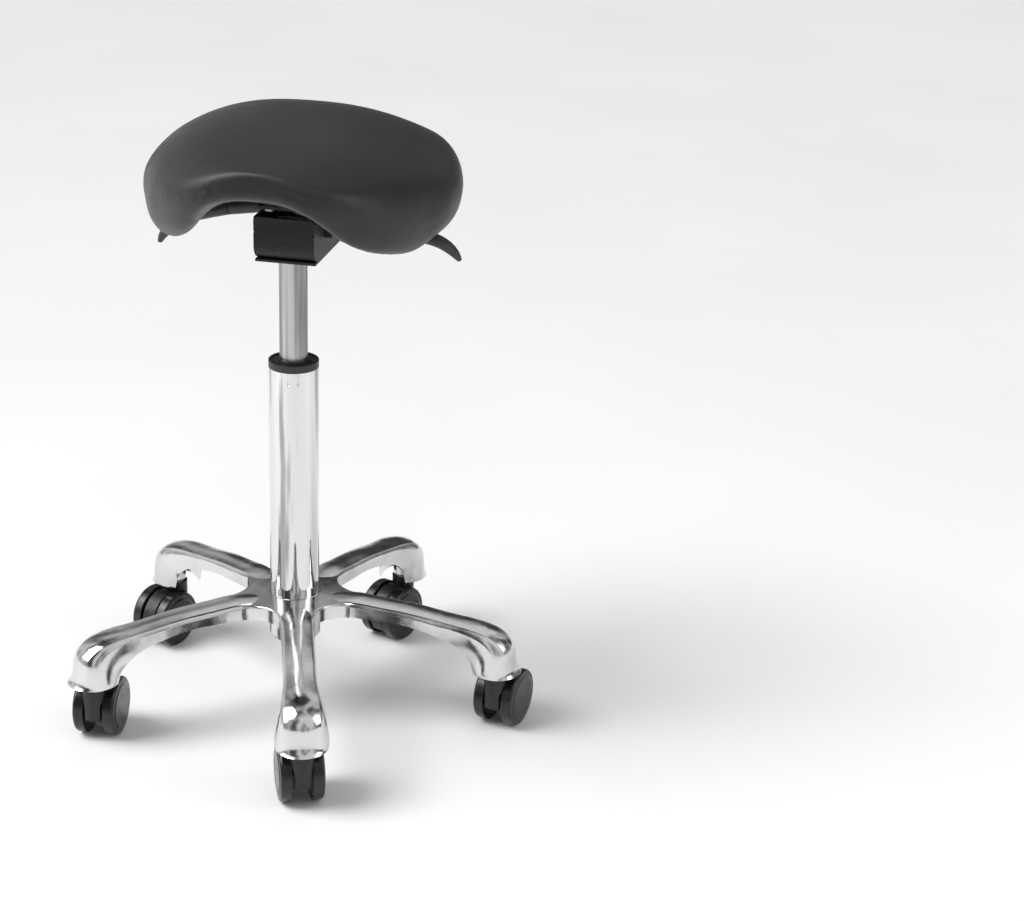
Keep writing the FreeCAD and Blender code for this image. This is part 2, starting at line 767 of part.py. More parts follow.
def slab_wire(y, w, z0, droop, high, low, nose):
    """Closed outline across the saddle between two surfaces parallel to its middle surface."""
    half = []
    for k in range(5):
        half.append(saddle_point(0.25 * k * w, y, z0, droop, high))
    under = []
    for k in range(5):
        under.append(saddle_point(0.25 * k * w, y, z0, droop, low))
    mid = saddle_point(w, y, z0, droop, 0.0)
    up = saddle_point(w, y, z0, droop, 1.0) - mid
    out = V(up.z, 0, -up.x)
    equator = mid + out * nose
    edges = [Part.Arc(half[0], half[1], half[2]), Part.Arc(half[2], half[3], half[4])]
    if nose > 0:
        edges.append(Part.Arc(half[4], mid + (up * high + out * nose) * math.sqrt(0.5), equator))
        edges.append(Part.Arc(equator, mid + (up * low + out * nose) * math.sqrt(0.5), under[4]))
    else:
        edges.append(Part.LineSegment(half[4], under[4]))
    edges.append(Part.Arc(under[4], under[3], under[2]))
    edges.append(Part.Arc(under[2], under[1], under[0]))
    right = [e.toShape() for e in edges]
    left = []
    for s in reversed(right):
        left.append(s.mirror(V(0, 0, 0), V(1, 0, 0)))
    return Part.Wire(Part.sortEdges(right + left)[0])


def saddle_stations(trim_front, trim_rear, count):
    """Places along the seat, closer together where its ends round off."""
    a = seat_front_y + trim_front
    b = seat_rear_y - trim_rear
    return [a + (b - a) * 0.5 * (1 - math.cos(math.pi * i / (count - 1))) for i in range(count)]


def cushion_loft(inset):
    """Closed form of the cushion, drawn in by inset all round."""
    wires = []
    for y in saddle_stations(0.9 + inset, 1.6 + inset, 15):
        w, z0, droop, h = saddle_at(y)
        h = max(h - inset, 0.8)
        low = min(h, underside_depth - inset)
        wires.append(slab_wire(y, max(w, 6.0), z0, droop, h, -low, h))
    return Part.makeLoft(wires, True, False)


def pan_loft():
    wires = []
    for y in saddle_stations(pan_inset, pan_inset, 9):
        w, z0, droop, h = saddle_at(y)
        low = min(h, underside_depth)
        under = -low - pan_proud
        wires.append(slab_wire(y, max(w - pan_inset, 6.0), z0, droop, under + pan_t, under, 0.0))
    return Part.makeLoft(wires, True, False)


def seat_parts():
    outer = cushion_loft(0.0)
    inner = cushion_loft(cover_t)
    pan = pan_loft()
    foam = inner.cut(pan)
    cover = outer.cut(inner).cut(pan)
    bosses = []
    bolt_top = bracket_z + bracket_sheet + seat_bolt_grip
    for x, y in seat_bolt_places():
        w, z0, droop, h = saddle_at(y)
        z = saddle_point(seat_bolt_x, y, z0, droop, -min(h, underside_depth)).z
        bosses.append(cyl(boss_r, bracket_z + bracket_sheet, z + 2.5, x, y))
    for b in bosses:
        pan = pan.fuse(b.cut(foam))
    for x, y in seat_bolt_places():
        pan = pan.cut(cyl(seat_bolt_r, bracket_z, bolt_top, x, y))
        foam = foam.cut(cyl(seat_bolt_r, bracket_z, bolt_top, x, y))
    return cover, foam, pan


# Castors


def at_castor(shape, i):
    """Moves a castor piece, drawn with its stem on the origin and its trail along -Y."""
    s = shape.copy()
    s.rotate(V(0, 0, 0), V(0, 0, 1), castor_headings[i])
    s.translate(direction(arm_angle(i)) * castor_circle_r)
    return s


def castor_bush():
    low = barrel_top_z + bush_lift
    return ring(stem_r + run, stem_r + run + bush_wall, low, stem_top_z + bush_lift)


def castor_stem():
    flange = cyl(stem_r + 4.0, barrel_top_z, barrel_top_z + 1.5)
    pin = cyl(stem_r, barrel_top_z - stem_seat, stem_top_z)
    groove = ring(stem_r - 0.8, stem_r + 1, stem_top_z - 8.0, stem_top_z - 5.5)
    tip = pin.makeChamfer(1.2, [e for e in pin.Edges if e.BoundBox.ZMin > stem_top_z - 0.1])
    return tip.fuse(flange).cut(groove)


def castor_body():
    """Hood between the wheels, with the barrel that holds the stem."""
    half = 0.5 * fork_w
    centre_y = -castor_trail
    disc = rod_x(wheel_r - 1.5, -half, half, centre_y, wheel_r)
    open_foot = block(-half - 1, half + 1, centre_y - 40, centre_y + 60, -1.0, 13.0)
    front_cut = block(-half - 1, half + 1, centre_y + 10.0, centre_y + 60, -1.0, 26.0)
    disc = disc.cut(open_foot).cut(front_cut)
    disc = disc.makeFillet(1.2, [e for e in disc.Edges if e.Curve.TypeId == "Part::GeomCircle"])
    post = cyl(barrel_r, 26.0, barrel_top_z)
    clear = wheel_r + 1.2
    for side in (-1, 1):
        x0 = side * half
        x1 = side * (half + 20.0)
        post = post.cut(rod_x(clear, min(x0, x1), max(x0, x1), centre_y, wheel_r))
    tongue = block(-half, half, -barrel_r, barrel_r, 26.0, barrel_top_z - 3.0)
    post = post.fuse(tongue.common(cyl(barrel_r, 26.0, barrel_top_z)))
    body = disc.fuse(post)
    body = body.cut(cyl(stem_r, barrel_top_z - stem_seat, barrel_top_z + 1))
    return body.cut(rod_x(axle_r, -half - 1, half + 1, centre_y, wheel_r))


def castor_axle():
    reach = 0.5 * fork_w + wheel_gap + wheel_w - 3.5
    return rod_x(axle_r, -reach, reach, -castor_trail, wheel_r)


def castor_wheel(side):
    """One wheel: flat tread, rounded outer shoulder, a shallow ring groove on its outer face."""
    x0 = 0.5 * fork_w + wheel_gap
    x1 = x0 + wheel_w
    y = -castor_trail
    z = wheel_r
    wheel = rod_x(wheel_r, x0, x1 - 1.0, y, z)
    wheel = wheel.makeFillet(3.2, [e for e in wheel.Edges if e.BoundBox.XMin > x1 - 1.1])
    inner_edge = [e for e in wheel.Edges if e.BoundBox.XMax < x0 + 0.1 and e.BoundBox.ZLength > 50]
    wheel = wheel.makeFillet(1.0, inner_edge)
    face = Part.makeCone(wheel_r - 5.0, wheel_r - 8.0, 1.0, V(x1 - 1.0, y, z), V(1, 0, 0))
    wheel = wheel.fuse(face)
    wheel = wheel.cut(rod_x(axle_r + run, x0 - 1, x1 - 3.2, y, z))
    if side < 0:
        wheel = wheel.mirror(V(0, 0, 0), V(1, 0, 0))
    return wheel


def castors():
    bushes = []
    for i in range(arm_count):
        name = "castor_" + str(i + 1)
        save(name + "_stem", at_castor(castor_stem(), i))
        save(name + "_body", at_castor(castor_body(), i))
        save(name + "_axle", at_castor(castor_axle(), i))
        save(name + "_wheel_left", at_castor(castor_wheel(-1), i))
        save(name + "_wheel_right", at_castor(castor_wheel(1), i))
        bushes.append(at_castor(castor_bush(), i))
    save("castor_bushes", group(bushes))


save("star_base", star_base())
save("column_tube", column_tube())
save("guide_sleeve", guide_sleeve())
save("column_collar", column_collar())
save("piston_rod", piston_rod())
save("retaining_clip", retaining_clip())
save("thrust_bearing", thrust_bearing())
save("buffer_ring", buffer_ring())
save("piston", piston())
save("gas_cylinder", gas_cylinder())
save("cylinder_gland", cylinder_gland())
save("release_button", release_button())
save("mechanism_housing", mechanism_housing())
save("bottom_plate", bottom_plate())
save("taper_socket", taper_socket())
save("pivot_pin", pivot_pin())
save("pivot_clip", pivot_clip())
save("tilt_bushes", tilt_bushes())
save("seat_bracket", seat_bracket())
save("seat_bolts", seat_bolts())
save("clamp_bolt", clamp_bolt())
save("clamp_spacer", clamp_spacer())
save("clamp_washers", clamp_washers())
save("clamp_nut", clamp_nut())
save("cam_pin", cam_pin())
save("lever_boss", lever_boss())
save("lever_pin", lever_pin())
save("height_lever", height_lever())
save("height_grip", swept(lever_grip()))
tilt_lever, tilt_grip = tilt_parts()
save("tilt_lever", tilt_lever)
save("tilt_grip", tilt_grip)
seat_cover, seat_foam, seat_pan = seat_parts()
save("seat_cover", seat_cover)
save("seat_foam", seat_foam)
save("seat_pan", seat_pan)
castors()
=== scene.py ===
import json
import math

import bmesh
import bpy
from mathutils import Matrix, Vector, kdtree, noise

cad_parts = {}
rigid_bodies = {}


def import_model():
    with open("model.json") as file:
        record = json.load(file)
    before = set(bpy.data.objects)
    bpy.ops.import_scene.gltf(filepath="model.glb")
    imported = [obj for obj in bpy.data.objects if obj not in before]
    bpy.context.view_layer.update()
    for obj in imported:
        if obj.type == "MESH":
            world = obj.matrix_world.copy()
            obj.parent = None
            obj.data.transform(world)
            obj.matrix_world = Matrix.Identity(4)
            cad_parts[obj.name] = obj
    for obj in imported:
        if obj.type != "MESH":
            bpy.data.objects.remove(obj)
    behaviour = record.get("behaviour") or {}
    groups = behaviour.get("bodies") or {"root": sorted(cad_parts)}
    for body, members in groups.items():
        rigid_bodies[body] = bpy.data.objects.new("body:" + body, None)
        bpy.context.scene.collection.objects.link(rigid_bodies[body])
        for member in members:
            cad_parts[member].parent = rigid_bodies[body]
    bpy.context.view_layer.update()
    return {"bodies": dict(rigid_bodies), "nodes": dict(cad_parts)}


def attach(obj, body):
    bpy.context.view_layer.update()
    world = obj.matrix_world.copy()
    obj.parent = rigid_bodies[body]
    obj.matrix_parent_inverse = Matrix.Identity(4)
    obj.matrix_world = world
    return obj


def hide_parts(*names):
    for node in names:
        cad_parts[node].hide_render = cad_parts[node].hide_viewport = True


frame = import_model()

# Star base. One aluminium casting with five hollow arms, ground and polished where it shows and left
# as cast inside the channels; the castor sockets are steel bushes pressed up into its hoods.
POLISH_SHADE = (0.5, 0.5, 0.51, 1.0)
POLISH_BRIGHT = (0.7, 0.7, 0.71, 1.0)
SAND_DARK = (0.3, 0.3, 0.31, 1.0)
SAND_LIGHT = (0.42, 0.42, 0.43, 1.0)


class Finish:
    """A surface finish: a node material, its shader, and the object coordinates it is laid on by."""

    def __init__(self, name):
        self.material = bpy.data.materials.new(name)
        self.material.use_nodes = True
        self.nodes = self.material.node_tree.nodes
        self.links = self.material.node_tree.links
        self.shader = self.nodes["Principled BSDF"]
        self.place = self.nodes.new("ShaderNodeTexCoord").outputs["Object"]

    def lay(self, socket, value):
        """Lets a value drive one of the shader's inputs."""
        self.links.new(value, self.shader.inputs[socket])

    def cloud(self, scale, detail=3.0, stretch=(1.0, 1.0, 1.0)):
        """Soft noise over the surface, its size set by scale per metre and pulled out by stretch."""
        mapping = self.nodes.new("ShaderNodeMapping")
        mapping.inputs["Scale"].default_value = stretch
        self.links.new(self.place, mapping.inputs["Vector"])
        tex = self.nodes.new("ShaderNodeTexNoise")
        tex.inputs["Scale"].default_value = scale
        tex.inputs["Detail"].default_value = detail
        self.links.new(mapping.outputs["Vector"], tex.inputs["Vector"])
        return tex.outputs["Fac"]

    def spread(self, value, low, high, start=0.3, stop=0.7):
        """Stretches the part of a value from start to stop onto the range from low to high."""
        node = self.nodes.new("ShaderNodeMapRange")
        node.inputs["From Min"].default_value = start
        node.inputs["From Max"].default_value = stop
        node.inputs["To Min"].default_value = low
        node.inputs["To Max"].default_value = high
        self.links.new(value, node.inputs["Value"])
        return node.outputs["Result"]

    def two_tones(self, value, at_start, at_stop, start=0.3, stop=0.7):
        """Shades from one colour to another as a value goes from start to stop."""
        ramp = self.nodes.new("ShaderNodeValToRGB")
        ramp.color_ramp.elements[0].position = start
        ramp.color_ramp.elements[0].color = at_start
        ramp.color_ramp.elements[1].position = stop
        ramp.color_ramp.elements[1].color = at_stop
        self.links.new(value, ramp.inputs["Fac"])
        return ramp.outputs["Color"]

    def blend(self, factor, first, second):
        """The first colour where the factor is 0 and the second where it is 1."""
        mix = self.nodes.new("ShaderNodeMix")
        mix.data_type = "RGBA"
        self.links.new(factor, mix.inputs["Factor"])
        self.links.new(first, mix.inputs["A"])
        self.links.new(second, mix.inputs["B"])
        return mix.outputs["Result"]

    def larger(self, first, second):
        node = self.nodes.new("ShaderNodeMath")
        node.operation = "MAXIMUM"
        self.links.new(first, node.inputs[0])
        self.links.new(second, node.inputs[1])
        return node.outputs["Value"]

    def facing_down(self):
        """1 on what faces down and 0 on what faces up or sideways."""
        geometry = self.nodes.new("ShaderNodeNewGeometry")
        split = self.nodes.new("ShaderNodeSeparateXYZ")
        self.links.new(geometry.outputs["Normal"], split.inputs["Vector"])
        return self.spread(split.outputs["Z"], low=1.0, high=0.0, start=-0.55, stop=-0.25)

    def relief(self, height, depth, strength, under=None):
        """Bump of a real depth in metres, on top of another bump where one is given."""
        bump = self.nodes.new("ShaderNodeBump")
        bump.inputs["Distance"].default_value = depth
        bump.inputs["Strength"].default_value = strength
        self.links.new(height, bump.inputs["Height"])
        if under is not None:
            self.links.new(under, bump.inputs["Normal"])
        self.lay("Normal", bump.outputs["Normal"])
        return bump.outputs["Normal"]


def polished_casting():
    """Polished metal with the long waves of hand grinding; sand grain on the faces turned down."""
    finish = Finish("polished_casting")
    finish.shader.inputs["Metallic"].default_value = 1.0
    under = finish.facing_down()
    patches = finish.cloud(scale=22.0, detail=5.0)
    buffed = finish.two_tones(patches, POLISH_SHADE, POLISH_BRIGHT, start=0.2, stop=0.5)
    sand = finish.two_tones(finish.cloud(scale=420.0, detail=4.0), SAND_DARK, SAND_LIGHT)
    finish.lay("Base Color", finish.blend(under, buffed, sand))
    haze = finish.spread(finish.cloud(scale=60.0, detail=6.0), low=0.1, high=0.24)
    as_cast = finish.spread(under, low=0.0, high=0.5, start=0.0, stop=1.0)
    finish.lay("Roughness", finish.larger(haze, as_cast))
    waves = finish.relief(finish.cloud(scale=34.0, detail=2.0), depth=0.0011, strength=0.5)
    finish.relief(finish.cloud(scale=900.0), depth=0.00004, strength=0.5, under=waves)
    return finish.material


def dress(material, *nodes):
    """Gives CAD pieces a finish on the slots that they have."""
    for name in nodes:
        for slot in frame["nodes"][name].material_slots:
            slot.material = material


dress(polished_casting(), "star_base")

# Castors. Each has two glossy moulded wheels either side of a matt hood that carries the stem; stem,
# axle and the sockets are zinc-plated steel.
CASTOR_BLACK = (0.005, 0.005, 0.0055, 1.0)
CASTOR_GREY = (0.011, 0.011, 0.0115, 1.0)
WHEEL_ROUGH = 0.24
WHEEL_GRAIN = 0.00003
HOOD_ROUGH = 0.4
HOOD_GRAIN = 0.00005
ZINC_LIGHT = (0.66, 0.66, 0.65, 1.0)
ZINC_DARK = (0.42, 0.42, 0.43, 1.0)


def moulded_black(name, dark, light, rough, grain_depth):
    """Black moulding: a faint flow mottle, fine eroded grain and slightly rubbed patches."""
    finish = Finish(name)
    mottle = finish.cloud(scale=38.0, detail=5.0)
    finish.lay("Base Color", finish.two_tones(mottle, dark, light))
    patches = finish.cloud(scale=90.0, detail=6.0)
    finish.lay("Roughness", finish.spread(patches, low=rough - 0.07, high=rough + 0.1))
    finish.relief(finish.cloud(scale=1500.0, detail=2.0), depth=grain_depth, strength=0.6)
    return finish.material


def zinc_plate():
    """Plated steel with a fine crystal pattern, dull rather than bright."""
    finish = Finish("zinc_plate")
    finish.shader.inputs["Metallic"].default_value = 1.0
    spangle = finish.nodes.new("ShaderNodeTexVoronoi")
    spangle.inputs["Scale"].default_value = 260.0
    finish.links.new(finish.place, spangle.inputs["Vector"])
    tone = finish.two_tones(spangle.outputs["Distance"], ZINC_LIGHT, ZINC_DARK, start=0.1, stop=0.9)
    finish.lay("Base Color", tone)
    finish.lay("Roughness", finish.spread(finish.cloud(scale=150.0), low=0.28, high=0.46))
    finish.relief(finish.cloud(scale=800.0), depth=0.00003, strength=0.5)
    return finish.material


wheel_moulding = moulded_black("wheel_moulding", CASTOR_BLACK, CASTOR_GREY, WHEEL_ROUGH, WHEEL_GRAIN)
hood_moulding = moulded_black("castor_hood_moulding", CASTOR_BLACK, CASTOR_GREY, HOOD_ROUGH, HOOD_GRAIN)
plated = zinc_plate()
castors = [name for name in frame["bodies"] if name.startswith("castor_") and name.count("_") == 1]
for castor in castors:
    dress(wheel_moulding, castor + "_wheel_left", castor + "_wheel_right")
    dress(hood_moulding, castor + "_body")
    dress(plated, castor + "_stem", castor + "_axle")
dress(plated, "castor_bushes")

# Column. A chrome-plated steel tube driven into the hub, closed at the top by a moulded collar; the
# guide sleeve, bearing, buffer and clip sit inside it.
# The darker chrome colour is painted reflection, laid over the tube in dark vertical bands.
CHROME_PAINTED_DARK_REFLECTION = (0.36, 0.36, 0.365, 1.0)
CHROME_LIGHT = (0.74, 0.74, 0.75, 1.0)
COLLAR_BLACK = (0.014, 0.014, 0.015, 1.0)
COLLAR_GREY = (0.03, 0.03, 0.031, 1.0)
NATURAL_SHADE = (0.5, 0.49, 0.45, 1.0)
NATURAL_LIGHT = (0.62, 0.61, 0.57, 1.0)
RUBBER_BLACK = (0.012, 0.012, 0.012, 1.0)
RUBBER_GREY = (0.03, 0.03, 0.03, 1.0)
COLLAR_ROUGH = 0.42
COLLAR_GRAIN = 0.00005
NATURAL_ROUGH = 0.45
RUBBER_ROUGH = 0.7


def chrome_plate():
    """Plated tube: nearly a mirror, with long shallow waves from drawing the tube and painted reflection in
    dark vertical colour bands.
    """
    finish = Finish("chrome_plate")
    finish.shader.inputs["Metallic"].default_value = 1.0
    # Painted reflection: dark vertical bands in the colour stand in for dark surroundings mirrored in the tube.
    streaks = finish.cloud(scale=70.0, stretch=(1.0, 1.0, 0.05))
    finish.lay("Base Color", finish.two_tones(streaks, CHROME_PAINTED_DARK_REFLECTION, CHROME_LIGHT, start=0.42, stop=0.5))
    finish.lay("Roughness", finish.spread(finish.cloud(scale=45.0, detail=5.0), low=0.035, high=0.09))
    drawn = finish.cloud(scale=42.0, detail=2.0, stretch=(1.0, 1.0, 0.12))
    finish.relief(drawn, depth=0.0007, strength=0.35)
    return finish.material


def plain_moulding(name, dark, light, rough):
    """Plastic or rubber that nobody sees or touches: slightly uneven in colour, with a dull skin."""
    finish = Finish(name)
    finish.lay("Base Color", finish.two_tones(finish.cloud(scale=70.0), dark, light))
    finish.lay("Roughness", finish.spread(finish.cloud(scale=200.0), low=rough - 0.05, high=rough + 0.08))
    finish.relief(finish.cloud(scale=1100.0), depth=0.00004, strength=0.5)
    return finish.material


collar_moulding = moulded_black("collar_moulding", COLLAR_BLACK, COLLAR_GREY, COLLAR_ROUGH, COLLAR_GRAIN)
bearing_plastic = plain_moulding("bearing_plastic", NATURAL_SHADE, NATURAL_LIGHT, NATURAL_ROUGH)
buffer_rubber = plain_moulding("buffer_rubber", RUBBER_BLACK, RUBBER_GREY, RUBBER_ROUGH)
dress(chrome_plate(), "column_tube")
dress(collar_moulding, "column_collar", "cylinder_gland")
dress(bearing_plastic, "guide_sleeve", "piston", "tilt_bushes")
dress(buffer_rubber, "buffer_ring")
dress(plated, "thrust_bearing", "retaining_clip")

# Gas spring. The cylinder that slides in the column is centreless-ground steel, so fine lines run
# round it; its rod and push button are the same steel, ground finer.
GROUND_DARK = (0.22, 0.22, 0.225, 1.0)
GROUND_LIGHT = (0.52, 0.52, 0.53, 1.0)
RING_SHARE = 0.25


def ground_steel():
    """Satin steel: fine rings from the grinding wheel over long streaks down the cylinder."""
    finish = Finish("ground_steel")
    finish.shader.inputs["Metallic"].default_value = 1.0
    finish.shader.inputs["Anisotropic"].default_value = 0.5
    rings = finish.cloud(scale=120.0, detail=4.0, stretch=(0.1, 0.1, 30.0))
    streaks = finish.cloud(scale=110.0, stretch=(1.0, 1.0, 0.03))
    joined = finish.nodes.new("ShaderNodeMath")
    joined.operation = "MULTIPLY_ADD"
    joined.inputs[1].default_value = RING_SHARE
    finish.links.new(rings, joined.inputs[0])
    finish.links.new(finish.spread(streaks, low=0.0, high=0.75, start=0.3, stop=0.65), joined.inputs[2])
    finish.lay("Base Color", finish.two_tones(joined.outputs["Value"], GROUND_DARK, GROUND_LIGHT))
    finish.lay("Roughness", finish.spread(rings, low=0.24, high=0.4))
    finish.relief(rings, depth=0.00001, strength=0.4)
    return finish.material


dress(ground_steel(), "gas_cylinder", "piston_rod", "release_button")

# Tilt mechanism. Folded sheet steel box with a bottom plate, the seat bracket and the bearing block,
# all powder-coated black; pins, bolts, nut and washers are zinc-plated.
COAT_BLACK = (0.006, 0.006, 0.0065, 1.0)
COAT_GREY = (0.01, 0.01, 0.0105, 1.0)
COAT_WORN = (0.03, 0.03, 0.031, 1.0)


def powder_coat():
    """Baked coating: orange-peel bumps, and a thinner, greyer film on outside corners."""
    finish = Finish("powder_coat")
    finish.shader.inputs["Specular IOR Level"].default_value = 0.3
    film = finish.two_tones(finish.cloud(scale=55.0, detail=5.0), COAT_BLACK, COAT_GREY)
    worn = finish.two_tones(finish.cloud(scale=300.0), COAT_GREY, COAT_WORN)
    corner = finish.nodes.new("ShaderNodeNewGeometry").outputs["Pointiness"]
    edge = finish.spread(corner, low=0.0, high=0.8, start=0.53, stop=0.62)
    finish.lay("Base Color", finish.blend(edge, film, worn))
    finish.lay("Roughness", finish.spread(finish.cloud(scale=120.0), low=0.46, high=0.54))
    finish.relief(finish.cloud(scale=1100.0, detail=2.0), depth=0.00005, strength=0.5)
    return finish.material


coated = powder_coat()
dress(coated, "mechanism_housing", "bottom_plate", "taper_socket", "seat_bracket", "lever_boss", "tilt_lever")
dress(plated, "pivot_pin", "pivot_clip", "clamp_bolt", "clamp_spacer", "clamp_washers", "clamp_nut", "cam_pin",
      "lever_pin", "seat_bolts", "height_lever")

# Lever grips. Black mouldings pushed onto the levers, matt with a fine spark-eroded grain.
GRIP_BLACK = (0.016, 0.016, 0.017, 1.0)
GRIP_GREY = (0.034, 0.034, 0.036, 1.0)
GRIP_ROUGH = 0.45
GRIP_GRAIN = 0.00007

grip_moulding = moulded_black("grip_moulding", GRIP_BLACK, GRIP_GREY, GRIP_ROUGH, GRIP_GRAIN)
dress(grip_moulding, "height_grip", "tilt_grip")

# Seat shell. The black moulded shell under the cushion, with the bosses that take the bracket's
# bolts; only its edge shows from the front.
SHELL_BLACK = (0.01, 0.01, 0.01, 1.0)
SHELL_GREY = (0.022, 0.022, 0.022, 1.0)
SHELL_ROUGH = 0.55
SHELL_GRAIN = 0.0001

shell_moulding = moulded_black("shell_moulding", SHELL_BLACK, SHELL_GREY, SHELL_ROUGH, SHELL_GRAIN)
dress(shell_moulding, "seat_pan")

# Saddle cushion. Foam under one piece of smooth black leather, pulled tight over the rolled front
# edge and down both flanks, wrapped under and gathered in small pleats on the shell.
MM = 0.001

# plan and crest of the saddle, in millimetres
SEAT_FRONT_Y = -145.5
SEAT_WIDE_Y = 26.0
SEAT_REAR_Y = 165.0
SEAT_LENGTH = SEAT_REAR_Y - SEAT_FRONT_Y
SEAT_HALF_W = 155.7
SEAT_FRONT_HALF_W = 41.7
FRONT_FULLNESS = 1.64
REAR_FULLNESS = 1.97
CREST_FRONT_Z = 601.0
CREST_MID_Z = 633.5
CREST_REAR_Z = 583.5

# how the flanks fall away from the crest: by the droop times the span's square, a span out from it
DROOP_FRONT = 0.0060
DROOP_REAR = 0.0006
DROOP_FADE = 1.16
DROOP_POWER = 2.6
DROOP_SPAN = 100.0

# half thickness of the cushion, and the rolls that close it at the front and the rear
EDGE_FRONT = 10.5
EDGE_MID = 37.5
EDGE_MID_AT = 0.45
THINNEST = 0.6
NARROWEST = 6.0
UNDERSIDE_DEPTH = 24.0
FRONT_ROLL = 16.0
FRONT_SQUARENESS = 2.8
REAR_ROLL = 104.0
REAR_SQUARENESS = 2.0

# steps of the form's mesh along the saddle, across half of it and round its edge
STATIONS = 96
END_GAP = 0.6
ACROSS_STEPS = 22
ROUND_STEPS = 18

# the even mesh, eased from EASE_FROM_Y forwards, and how far the leather may move on its foam
VOXEL = 4.0
EASE_ROUNDS = 12
EASE_LEAST = 0.12
EASE_FROM_Y = -112.0
EASE_OVER = 22.0
LEATHER_PLAY = 2.5
SHELL_SIDE_SHARE = 0.2
SHELL_SIDE_BELOW = -0.1
CLOTH_FRAMES = 20

# lobes that hang beside the arch at the front, and how far right of its shell the leather sits
LOBE_HANG = 9.0
LOBE_TUCK = 4.0
LOBE_FROM_X = 45.0
LOBE_OVER_X = 60.0
LOBE_TOP_Z = 592.0
LOBE_REAR_Y = 2.0
LOBE_FADE = 42.0
SIT_SHIFT = 3.0

# bead along the front edge and pleats on the underside, set by how far in they lie from the edge
BEAD_HEIGHT = 1.2
BEAD_INWARD = 7.0
BEAD_WIDTH = 5.0
BEAD_REAR_Y = -20.0
BEAD_HALF_W = 82.0
BEAD_SIDE_ABOVE = 0.1
PLEAT_DEPTH = 0.45
PLEAT_PITCH = 11.0
PLEAT_INWARD = 12.0
PLEAT_OVER = 10.0
PLEAT_DRIFT = 0.35
PLEAT_WANDER = 2.2
PLEAT_ROW = 2.7
PLEAT_MIDDLE = 0.6
PLEAT_SIDE_BELOW = -0.15

LEATHER_BLACK = (0.0085, 0.0085, 0.009, 1.0)
LEATHER_GREY = (0.014, 0.014, 0.0145, 1.0)


def held(u):
    """Keeps a share between 0 and 1."""
    return max(0.0, min(1.0, u))


def soft_step(u):
    """Goes from 0 to 1 with a soft start and end."""
    u = held(u)
    return u * u * (3.0 - 2.0 * u)


def edge_round(distance, reach, squareness):
    """Share of the full thickness at a distance in from an edge that is rolled over reach."""
    u = max(0.0, 1.0 - distance / reach)
    return (1.0 - u ** squareness) ** (1.0 / squareness)


def saddle_at(y):
    """Outer half width, middle surface height, droop and half thickness at y, in millimetres."""
    t = (y - SEAT_FRONT_Y) / SEAT_LENGTH
    full = EDGE_FRONT + (EDGE_MID - EDGE_FRONT) * math.sin(0.5 * math.pi * min(1.0, t / EDGE_MID_AT))
    front = edge_round(y - SEAT_FRONT_Y, FRONT_ROLL, FRONT_SQUARENESS)
    half_t = full * front * edge_round(SEAT_REAR_Y - y, REAR_ROLL, REAR_SQUARENESS)
    if y < SEAT_WIDE_Y:
        u = (SEAT_WIDE_Y - y) / (SEAT_WIDE_Y - SEAT_FRONT_Y)
        swell = (1.0 - u ** FRONT_FULLNESS) ** (1.0 / FRONT_FULLNESS)
        half_w = SEAT_FRONT_HALF_W + (SEAT_HALF_W - SEAT_FRONT_HALF_W) * swell
    else:
        u = min(1.0, (y - SEAT_WIDE_Y) / (SEAT_REAR_Y - SEAT_WIDE_Y))
        half_w = SEAT_HALF_W * (1.0 - u ** REAR_FULLNESS) ** (1.0 / REAR_FULLNESS)
    crest = (CREST_FRONT_Z * (1 - t) * (1 - 2 * t) + CREST_MID_Z * 4 * t * (1 - t)
             + CREST_REAR_Z * t * (2 * t - 1))
    droop = DROOP_REAR + (DROOP_FRONT - DROOP_REAR) * max(0.0, 1.0 - t) ** DROOP_FADE
    return half_w, crest - full, droop, half_t


def saddle_ring(y):
    """Closed ring of points round the cushion at y, on the right from crest to underside and back."""
    half_w, z0, droop, half_t = saddle_at(y)
    half_t = max(half_t, THINNEST)
    low_t = min(half_t, UNDERSIDE_DEPTH)
    reach = max(half_w - half_t, NARROWEST)
    scale = DROOP_SPAN ** (2.0 - DROOP_POWER)
    top = []
    bottom = []
    for k in range(ACROSS_STEPS + 1):
        x = reach * k / ACROSS_STEPS
        z = z0 - droop * scale * x ** DROOP_POWER
        slope = droop * scale * DROOP_POWER * x ** (DROOP_POWER - 1.0)
        n = math.hypot(1.0, slope)
        top.append(Vector((x + half_t * slope / n, y, z + half_t / n)))
        bottom.append(Vector((max(0.0, x - low_t * slope / n), y, z - low_t / n)))
    out = Vector((1.0 / n, 0.0, -slope / n))
    up = Vector((slope / n, 0.0, 1.0 / n))
    middle = Vector((reach, y, z))
    nose = []
    for k in range(1, ROUND_STEPS):
        a = math.pi * k / ROUND_STEPS
        rise = math.cos(a) * (half_t if a < 0.5 * math.pi else low_t)
        nose.append(middle + out * half_t * math.sin(a) + up * rise)
    right = top + nose + bottom[::-1]
    left = [Vector((-p.x, p.y, p.z)) for p in right[1:-1]]
    return right + left[::-1]


def saddle_mesh():
    """The cushion's form: rings set closest together at both ends, joined and closed."""
    mesh = bpy.data.meshes.new("saddle_cushion")
    bm = bmesh.new()
    rings = []
    for i in range(STATIONS):
        s = 0.5 * (1.0 - math.cos(math.pi * (i + END_GAP) / (STATIONS - 1 + 2 * END_GAP)))
        y = SEAT_FRONT_Y + SEAT_LENGTH * s
        rings.append([bm.verts.new(p * MM) for p in saddle_ring(y)])
    count = len(rings[0])
    for a, b in zip(rings, rings[1:]):
        for j in range(count):
            k = (j + 1) % count
            bm.faces.new((a[j], a[k], b[k], b[j]))
    bm.faces.new(rings[0][::-1])
    bm.faces.new(rings[-1])
    bmesh.ops.recalc_face_normals(bm, faces=bm.faces)
    bm.to_mesh(mesh)
    bm.free()
    piece = bpy.data.objects.new("saddle_cushion", mesh)
    bpy.context.collection.objects.link(piece)
    return piece


